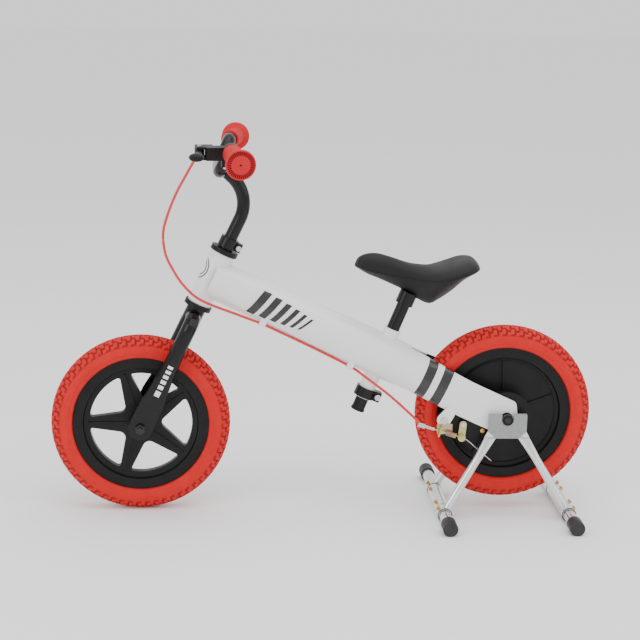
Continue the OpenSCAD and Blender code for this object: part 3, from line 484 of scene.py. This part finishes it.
def rim_ribs(name, matrix, body):
    """The two rings of fine ribs on a wheel's flange faces, made flat and turned to the wheel."""
    both = []
    for s in (-1, 1):
        part = grown(name, [(0, 0, 0)], [(0, 0, 1)], ribs, hard_black, {"Radius": 0.1052, "Length": 0.0135})
        part.data.transform(matrix @ Matrix.Translation((0, s * 0.01505, 0)) @ Matrix.Rotation(math.radians(90), 4, "X"))
        both.append(part)
    whole = joined(name, both)
    whole.data.polygons.foreach_set("use_smooth", [False] * len(whole.data.polygons))
    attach(whole, body)


rim_ribs("front_rim_ribs", STEER, "front_wheel")
rim_ribs("rear_rim_ribs", REAR, "rear_wheel")

# ---- Frame ----
# Welded steel tube: head tube, fat main tube, seat tube and two pressed half-pipe stays, under
# a gloss white coat. Two black bands are sprayed round each stay.
coat_white = material("gloss white coat", (0.84, 0.84, 0.83), 0.3, coat=0.35)
grained(coat_white, (0.86, 0.86, 0.855), 0.05, 18, 600, 0.00006, 0.24, 0.36)
finish(["head_tube", "main_tube", "seat_tube", "brake_tab"], coat_white)
slope = math.radians(26.4735)
TUBE = REAR @ Matrix.Rotation(slope, 4, "Y")


def along(tree, matrix, axis):
    """A node that gives the distance along a part's own axis, in metres, from Object coordinates."""
    way = matrix.to_3x3().col[axis]
    place, dot, off = tree.nodes.new("ShaderNodeTexCoord"), tree.nodes.new("ShaderNodeVectorMath"), tree.nodes.new("ShaderNodeMath")
    dot.operation, off.operation = "DOT_PRODUCT", "SUBTRACT"
    dot.inputs[1].default_value = way
    off.inputs[1].default_value = way.dot(matrix.to_translation())
    wire(tree, place, "Object", dot, 0)
    wire(tree, dot, "Value", off, 0)
    return off


def between(tree, value, low, high):
    """1 where the value lies between two limits, else 0."""
    test = tree.nodes.new("ShaderNodeMath")
    test.operation = "COMPARE"
    test.inputs[1].default_value = (low + high) / 2
    test.inputs[2].default_value = (high - low) / 2
    wire(tree, value, 0, test, 0)
    return test


def combined(tree, a, b, operation):
    both = tree.nodes.new("ShaderNodeMath")
    both.operation = operation
    wire(tree, a, 0, both, 0)
    wire(tree, b, 0, both, 1)
    return both


def painted_over(made, group, shader, mask, color):
    """Sprays a second colour over a grained material where the mask is 1."""
    tree = made.node_tree
    mix = tree.nodes.new("ShaderNodeMix")
    mix.data_type = "RGBA"
    mix.inputs[7].default_value = (*color, 1)
    wire(tree, mask, 0, mix, 0)
    wire(tree, group, "Color", mix, 6)
    tree.links.new(mix.outputs[2], shader.inputs["Base Color"])


banded_white = material("white coat with black bands", (0.84, 0.84, 0.83), 0.3, coat=0.35)
group, shader = grained(banded_white, (0.86, 0.86, 0.855), 0.05, 18, 600, 0.00006, 0.24, 0.36)
t = along(banded_white.node_tree, TUBE, 0)
bands = combined(banded_white.node_tree, between(banded_white.node_tree, t, -0.1575, -0.141),
                 between(banded_white.node_tree, t, -0.1295, -0.113), "MAXIMUM")
painted_over(banded_white, group, shader, bands, (0.012, 0.012, 0.013))
finish(["left_stay", "right_stay"], banded_white)

# ---- Transfers on the frame ----
# Thin printed film under the lacquer: a row of plain slanted bars on each side of the main
# tube, each narrower than the last, and two plain rings round the front of the head tube.
film_black = material("black printed film", (0.012, 0.012, 0.012), 0.3, coat=0.3)
grained(film_black, (0.013, 0.013, 0.013), 0.1, 60, 1500, 0.00002, 0.26, 0.36)


def sheet_faces(rows, cols, wrap=False):
    faces = []
    for i in range(rows - 1):
        for j in range(cols if wrap else cols - 1):
            m = (j + 1) % cols
            faces.append((i * cols + j, i * cols + m, (i + 1) * cols + m, (i + 1) * cols + j))
    return faces


def tube_radius(x):
    """The main tube's radius: a cone from the head tube to 285 mm before the axle, then plain."""
    length = 598.5
    return 32.5 + 4.5 * np.clip((x + length) / (length - 285), 0, 1)


def speed_bar(x0, x1, low, high, lean_x, side):
    """A slanted bar on the tube's side, from x0 to x1 along it and from low to high round it."""
    pts = []
    for f in np.linspace(0, 1, 17):
        angle = math.radians(low + (high - low) * f)
        for g in np.linspace(0, 1, 9):
            x = x0 + (x1 - x0) * g + lean_x * f
            r = float(tube_radius(x)) + 0.25
            pts.append((x, side * r * math.cos(angle), r * math.sin(angle)))
    return pts, sheet_faces(17, 9)


for side, word in ((-1, "left"), (1, "right")):
    verts, faces = [], []
    for x0, width, high in ((-474, 14, 40), (-452, 12, 36), (-432, 10, 32), (-414, 8, 28), (-398, 6, 24), (-384, 4, 20)):
        pts, some = speed_bar(x0, x0 + width, -high, high, 14, side)
        faces += [[i + len(verts) for i in f] for f in some]
        verts += [tuple(v) for v in placed(pts, TUBE)]
    bars = piece("speed_bars_" + word, verts, faces, film_black)
    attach(bars, "frame")

verts, faces = [], []
for inner, outer in ((17.2, 19.2), (12.0, 14.0)):
    pts = []
    for r in np.linspace(inner, outer, 4):
        for a in np.linspace(0, 2 * math.pi, 96, endpoint=False):
            turn, up = r * math.sin(a) / 20, 284 + r * math.cos(a)
            pts.append((-20.25 * math.cos(turn), 20.25 * math.sin(turn), up))
    some = sheet_faces(4, 96, True)
    faces += [[i + len(verts) for i in f] for f in some]
    verts += [tuple(v) for v in placed(pts, STEER)]
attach(piece("head_rings", verts, faces, film_black), "frame")

# ---- Headset, collar, seat clamp and fork ----
# Black plastic cups close the head tube. The fork is bent steel tube, flattened at its tips,
# and it is gloss black like the handlebar, the post and both clamps.
finish(["headset_cups"], hard_black)
gloss_black = material("gloss black coat", (0.005, 0.005, 0.0055), 0.16, coat=0.12, spec=0.2)
grained(gloss_black, (0.006, 0.006, 0.0065), 0.2, 30, 900, 0.00002, 0.12, 0.24)
finish(["steerer", "stem_collar", "seat_clamp", "riser", "crossbar", "seat_post", "saddle_bracket"], gloss_black)
finish(["stem_bolt", "frame_bolts"], zinc)
dashed_black = material("gloss black coat with dashes", (0.005, 0.005, 0.0055), 0.16, coat=0.12, spec=0.2)
group, shader = grained(dashed_black, (0.006, 0.006, 0.0065), 0.2, 30, 900, 0.00002, 0.12, 0.24)
tree = dashed_black.node_tree
up, over = along(tree, STEER, 2), along(tree, STEER, 0)
dashes = between(tree, up, 0.062, 0.072)
for low, high in ((0.076, 0.083), (0.0865, 0.093), (0.0965, 0.1025), (0.106, 0.1115), (0.115, 0.120)):
    dashes = combined(tree, dashes, between(tree, up, low, high), "MAXIMUM")
dashes = combined(tree, dashes, between(tree, over, -0.0045, 0.0045), "MULTIPLY")
painted_over(dashed_black, group, shader, dashes, (0.8, 0.8, 0.8))
finish(["left_blade", "right_blade"], dashed_black)

# ---- Grips ----
# Red rubber grips, moulded with fine rings that the hand feels, a collar at the inner end and
# a wide flange outside. A circle of slots is sunk in the flange round a small middle hole.
grip_red = material("moulded grip rubber", (0.58, 0.012, 0.018), 0.5, spec=0.25)
grip_parts = grained(grip_red, (0.60, 0.013, 0.019), 0.2, 90, 1300, 0.00015, 0.44, 0.62)
# Painted shade: the grip's sunk slots and middle hole are painted nearly black for the shade in them.
paint_recess_shade(grip_red, grip_parts, (0.02, 0.001, 0.002))
elbow, bend_angle = 24, math.radians(60)
rise = 2 * elbow * (1 - math.cos(bend_angle)) + 19 * math.sin(bend_angle)
end_y = 36 + 2 * elbow * math.sin(bend_angle) + 19 * math.cos(bend_angle)
sweep = math.radians(8)
tail = (196 - end_y - 24 * math.sin(sweep)) / math.cos(sweep)


def bar_end(side):
    """Origin at the start of a swept end of the bar, with +Y outwards along it."""
    turn = Matrix.Translation((-0.067, side * end_y * 0.001, (444.5 + rise) * 0.001)) @ Matrix.Rotation(-side * sweep, 4, "Z")
    return STEER @ turn @ (Matrix.Identity(4) if side > 0 else Matrix.Scale(-1, 4, (0, 1, 0)))


def grip(name, side):
    slots, fine = 38, 8
    cols = slots * fine
    base = tail - 93
    profile = [(11.3, base), (14.6, base), (15.5, base + 0.9), (15.5, base + 3.4), (14.4, base + 4.4)]
    y = base + 5.2
    while y < tail - 11:
        profile += [(14.3, y), (14.75, y + 0.6), (14.75, y + 1.4), (14.3, y + 2.0)]
        y += 2.55
    profile += [(14.6, tail - 9.5), (16.5, tail - 8), (22.6, tail - 7), (23.8, tail - 5.8), (24, tail - 4),
                (23.8, tail - 1.4), (22.9, tail - 0.4), (22.2, tail), (21.5, tail), (21.2, tail), (15.2, tail),
                (14.9, tail), (13, tail - 0.1), (2.0, tail - 0.1), (1.2, tail - 0.4), (1.0, tail - 3), (0.05, tail - 3)]
    slot_rows = {i for i, (r, yy) in enumerate(profile) if yy == tail and 15.1 < r < 21.3}
    pts, slot_and_hole_shade = [], []
    for i, (r, yy) in enumerate(profile):
        for j in range(cols):
            sunk = i in slot_rows and j % fine in (2, 3, 4, 5)
            a = 2 * math.pi * (j + (0.35 if j % fine == 2 else -0.35 if j % fine == 5 else 0)) / cols
            pts.append((r * math.cos(a), yy - (1.8 if sunk else 0), r * math.sin(a)))
            # Painted shade: the sunk slots and the middle hole are marked to be darkened as painted shade.
            slot_and_hole_shade.append(1.0 if sunk or (r < 1.3 and i > 20) else 0.0)
    rows = len(profile)
    made = piece(name, placed(pts, bar_end(side)), sheet_faces(rows, cols, True), grip_red)
    made.data.attributes.new("deep", "FLOAT", "POINT").data.foreach_set("value", slot_and_hole_shade)
    made.data.set_sharp_from_angle(angle=math.radians(50))
    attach(made, "handlebar")
    return made


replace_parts(grip("left_rubber_grip", -1), "left_grip")
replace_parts(grip("right_rubber_grip", 1), "right_grip")

# ---- Brake lever ----
# The bracket and the two-finger lever are moulded in black plastic, the lever with a rounded
# edge and a bulb at its end. A zinc pin holds the lever and a zinc bolt clamps the bracket.
finish(["lever_bracket", "brake_lever"], hard_black)
finish(["lever_bolts", "lever_adjuster"], zinc)

# ---- Brake cable ----
# Red plastic housing over a steel wire. It leaves the lever, makes a free loop in front of the
# head tube, runs through two white guides under the frame and ends in the rear adjuster.
cable_red = material("red cable housing", (0.62, 0.01, 0.012), 0.25, coat=0.2)
grained(cable_red, (0.68, 0.014, 0.014), 0.12, 80, 1500, 0.00002, 0.22, 0.34)
BIKE = REAR @ Matrix.Translation((0, 0, -0.15))


def route(points, per):
    """Points of a smooth curve through the given ones, in the same units."""
    p = np.asarray(points, float)
    out, last = [], len(p) - 1
    for i in range(last):
        a, b, c, d = p[max(i - 1, 0)], p[i], p[i + 1], p[min(i + 2, last)]
        for f in np.arange(per) / per:
            out.append(0.5 * (2 * b + (c - a) * f + (2 * a - 5 * b + 4 * c - d) * f * f + (3 * b - a - 3 * c + d) * f ** 3))
    return np.array(out + [p[last]])


def swept(name, line, radius, matrix, made, sides=14):
    """A round cord along a line, both ends closed."""
    line = np.asarray(line, float)
    ways = np.gradient(line, axis=0)
    ways /= np.linalg.norm(ways, axis=1)[:, None]
    across = np.cross(ways[0], (0.3, 1, 0.1))
    pts = []
    for p, w in zip(line, ways):
        across = across - w * across.dot(w)
        across /= np.linalg.norm(across)
        other = np.cross(w, across)
        pts += [p + radius * (math.cos(a) * across + math.sin(a) * other)
                for a in np.linspace(0, 2 * math.pi, sides, endpoint=False)]
    rows = len(line)
    faces = sheet_faces(rows, sides, True) + [list(range(sides)), list(range((rows - 1) * sides, rows * sides))]
    return piece(name, placed(pts, matrix), faces, made)


loop_upper = [(-501.1, -73.1, 615.2), (-502.1, -65.1, 615.7), (-511.5, -52, 597), (-525.7, -45, 572),
              (-540, -43, 547), (-554, -41, 516), (-564, -40, 486), (-566, -40, 466.6)]
loop_lower = [(-566, -40, 465.8), (-562, -40, 440), (-551, -41, 416), (-537, -41, 393), (-517, -38, 371),
              (-493, -34, 356), (-452, -29, 338), (-407, -22, 318)]
rear_run = [(-407, -22, 318), (-330, -20, 278), (-262, -21, 241), (-236, -27, 223), (-196, -42, 193),
            (-160, -52, 160), (-144, -55, 144)]
upper = swept("loop_upper_housing", route(loop_upper, 12), 2.3, BIKE, cable_red)
lower = swept("loop_lower_housing", route(loop_lower, 12), 2.3, BIKE, cable_red)
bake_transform(upper)
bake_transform(lower)
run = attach(swept("frame_housing", route(rear_run, 10), 2.3, BIKE, cable_red), "frame")
for obj, name in ((upper, "front_cable_upper"), (lower, "front_cable_lower"), (run, "rear_cable")):
    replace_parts(obj, name)
clip_white = material("white guide plastic", (0.85, 0.85, 0.84), 0.3)
grained(clip_white, (0.86, 0.86, 0.85), 0.08, 60, 1500, 0.00003, 0.26, 0.4)
finish(["cable_guides"], clip_white)

# ---- Rear brake ----
# A band brake under a round black cover. The stop, the arm and its clamp are pressed steel,
# yellow passivated with a rainbow tint, and a spring on the bare wire pulls the arm back.
finish(["brake_cover"], hard_black)
yellow_zinc = material("yellow passivated steel", (0.62, 0.48, 0.22), 0.32, metal=0.9)
group, shader = grained(yellow_zinc, (0.66, 0.52, 0.26), 0.3, 160, 2500, 0.00003, 0.22, 0.42)
tree = yellow_zinc.node_tree
tint, ramp, place = tree.nodes.new("ShaderNodeTexNoise"), tree.nodes.new("ShaderNodeValToRGB"), tree.nodes.new("ShaderNodeTexCoord")
tint.inputs["Scale"].default_value = 55
wire(tree, place, "Object", tint, "Vector")
wire(tree, tint, "Fac", ramp, "Fac")
ramp.color_ramp.elements[0].position, ramp.color_ramp.elements[0].color = 0.35, (0.72, 0.62, 0.22, 1)
ramp.color_ramp.elements[1].position, ramp.color_ramp.elements[1].color = 0.68, (0.62, 0.34, 0.30, 1)
middle = ramp.color_ramp.elements.new(0.5)
middle.color = (0.55, 0.52, 0.25, 1)
wire(tree, ramp, "Color", group, "Color")
finish(["cable_stop", "brake_arm", "wire_clamp"], yellow_zinc)
finish(["rear_adjuster"], zinc)
wire_run = [(-126, -55, 137.5), (-96, -55, 127), (-72, -55, 118.5), (-52, -54, 101), (-26, -52, 77)]
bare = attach(swept("bare_wire", route(wire_run, 8), 0.8, BIKE, zinc, 10), "brake_arm")
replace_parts(bare, "brake_wire")
a = np.array(wire_run[0]) + 0.75 * (np.array(wire_run[1]) - wire_run[0])
b = np.array(wire_run[1]) + 0.38 * (np.array(wire_run[2]) - wire_run[1])
way = (b - a) / np.linalg.norm(b - a)
u = np.cross(way, (0, 1, 0))
u /= np.linalg.norm(u)
v = np.cross(way, u)
turns = 11
coil = [a + (b - a) * f + 4 * (math.cos(2 * math.pi * turns * f) * u + math.sin(2 * math.pi * turns * f) * v)
        for f in np.linspace(0, 1, turns * 20 + 1)]
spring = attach(swept("spring_wire", coil, 0.6, BIKE, yellow_zinc, 8), "brake_arm")
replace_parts(spring, "return_spring")
screw_head = turned("cover_screw_head", capped([(3.6, -40.6), (4.3, -41), (4.3, -43.2), (3.4, -44.2), (1.2, -44.3)]),
                    REAR @ Matrix.Translation((-0.040, 0, -0.022)), brass_gold, 24)
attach(screw_head, "frame")

# ---- Seat ----
# Gloss black steel post with a black plug in its foot, and a moulded saddle: a plastic base and
# a foam pad under tight matt black covering, high at nose and tail and dipped in the middle.
finish(["post_plug", "saddle_shell"], hard_black)
cover_black = material("matt saddle covering", (0.010, 0.010, 0.011), 0.5, spec=0.22)
grained(cover_black, (0.012, 0.012, 0.013), 0.3, 25, 1100, 0.00022, 0.44, 0.6)
stations = np.array([(0, 33, 31, 29, 0.1), (0.03, 44, 30, 25, 0.24), (0.1, 50, 25, 16, 0.31), (0.19, 50, 21, 8, 0.34),
                     (0.3, 43, 16, -3, 0.37), (0.42, 34, 12, -16, 0.44), (0.5, 30, 10, -28, 0.55), (0.6, 27, 9, -37, 0.72),
                     (0.68, 29, 11, -30, 0.86), (0.78, 34, 16, -16, 0.97), (0.87, 39, 21, 1, 1), (0.95, 39, 24, 12, 0.86),
                     (0.99, 33, 25, 20, 0.6), (1, 28, 26, 24, 0.4)])
SADDLE = BIKE @ Matrix.Translation((-0.147, 0, 0.378))


def saddle_skin(name, made, above):
    """The pad above the seam or the base below it, as half sections through smooth stations."""
    rows = route(stations, 6)
    count = 25
    pts = []
    for share, top, seam, bottom, half in rows:
        w = half * 64
        rise_z = (top - seam) if above else (bottom - seam)
        for j in range(count):
            a = math.pi * j / (count - 1)
            draw = 0 if above else 0.5
            x = w * math.cos(a) * (1 - draw * math.sin(a))
            z = math.sin(a) ** (0.82 if above else 1)
            pts.append(((share - 0.5) * 206, x, seam + (0.1 if above else 0) + rise_z * z))
    n = len(rows)
    faces = sheet_faces(n, count)
    faces += [(i * count, (i + 1) * count, (i + 2) * count - 1, (i + 1) * count - 1) for i in range(n - 1)]
    faces += [list(range(count)), list(range((n - 1) * count, n * count))]
    return piece(name, placed(pts, SADDLE), faces, made)


pad = saddle_skin("saddle_cover", cover_black, True)
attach(pad, "seat")
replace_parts(pad, "saddle_pad")
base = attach(saddle_skin("saddle_base", cover_black, False), "seat")
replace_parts(base, "saddle_shell")

# ---- Floor, light and camera ----
# A plain pale floor, three large soft lamps and a long lens a little above the wheels.
floor_mat = material("pale floor", (0.97, 0.97, 0.97), 0.7)
grained(floor_mat, (0.98, 0.98, 0.98), 0.01, 3, 200, 0.0001, 0.65, 0.8)
floor = piece("floor", [(-9, -6, 0), (9, -6, 0), (9, 14, 0), (-9, 14, 0)], [(0, 1, 2, 3)], floor_mat, False)
world = bpy.data.worlds.new("studio")
bpy.context.scene.world = world
world.use_nodes = True
world.node_tree.nodes["Background"].inputs["Color"].default_value = (1, 1, 1, 1)
world.node_tree.nodes["Background"].inputs["Strength"].default_value = 1.15
for name, place, size, power in (("top lamp", (0.2, -0.3, 2.6), 2.4, 34), ("left lamp", (-2.2, -1.8, 1.6), 1.6, 22),
                                 ("right lamp", (2.4, -1.2, 1.5), 1.6, 12)):
    lamp = bpy.data.lights.new(name, "AREA")
    lamp.size, lamp.energy = size, power
    held = bpy.data.objects.new(name, lamp)
    held.location = place
    held.rotation_euler = (Vector((0, 0, 0.3)) - Vector(place)).to_track_quat("-Z", "Y").to_euler()
    bpy.context.scene.collection.objects.link(held)
yaw, pitch, roll = math.radians(4.101), math.radians(12.654), math.radians(1.1214)
look = Vector((math.sin(yaw) * math.cos(pitch), math.cos(yaw) * math.cos(pitch), -math.sin(pitch)))
right = Vector((math.cos(yaw), -math.sin(yaw), 0))
top = right.cross(look)
across = math.cos(roll) * right + math.sin(roll) * top
upward = -math.sin(roll) * right + math.cos(roll) * top
camera = bpy.data.objects.new("camera", bpy.data.cameras.new("camera"))
camera.data.sensor_width, camera.data.lens = 36, 1754.74 * 36 / 640
camera.matrix_world = Matrix.Translation((-0.21288, -2.86075, 0.97010)) @ Matrix((across, upward, -look)).transposed().to_4x4()
bpy.context.scene.collection.objects.link(camera)
bpy.context.scene.camera = camera
bpy.context.view_layer.update()
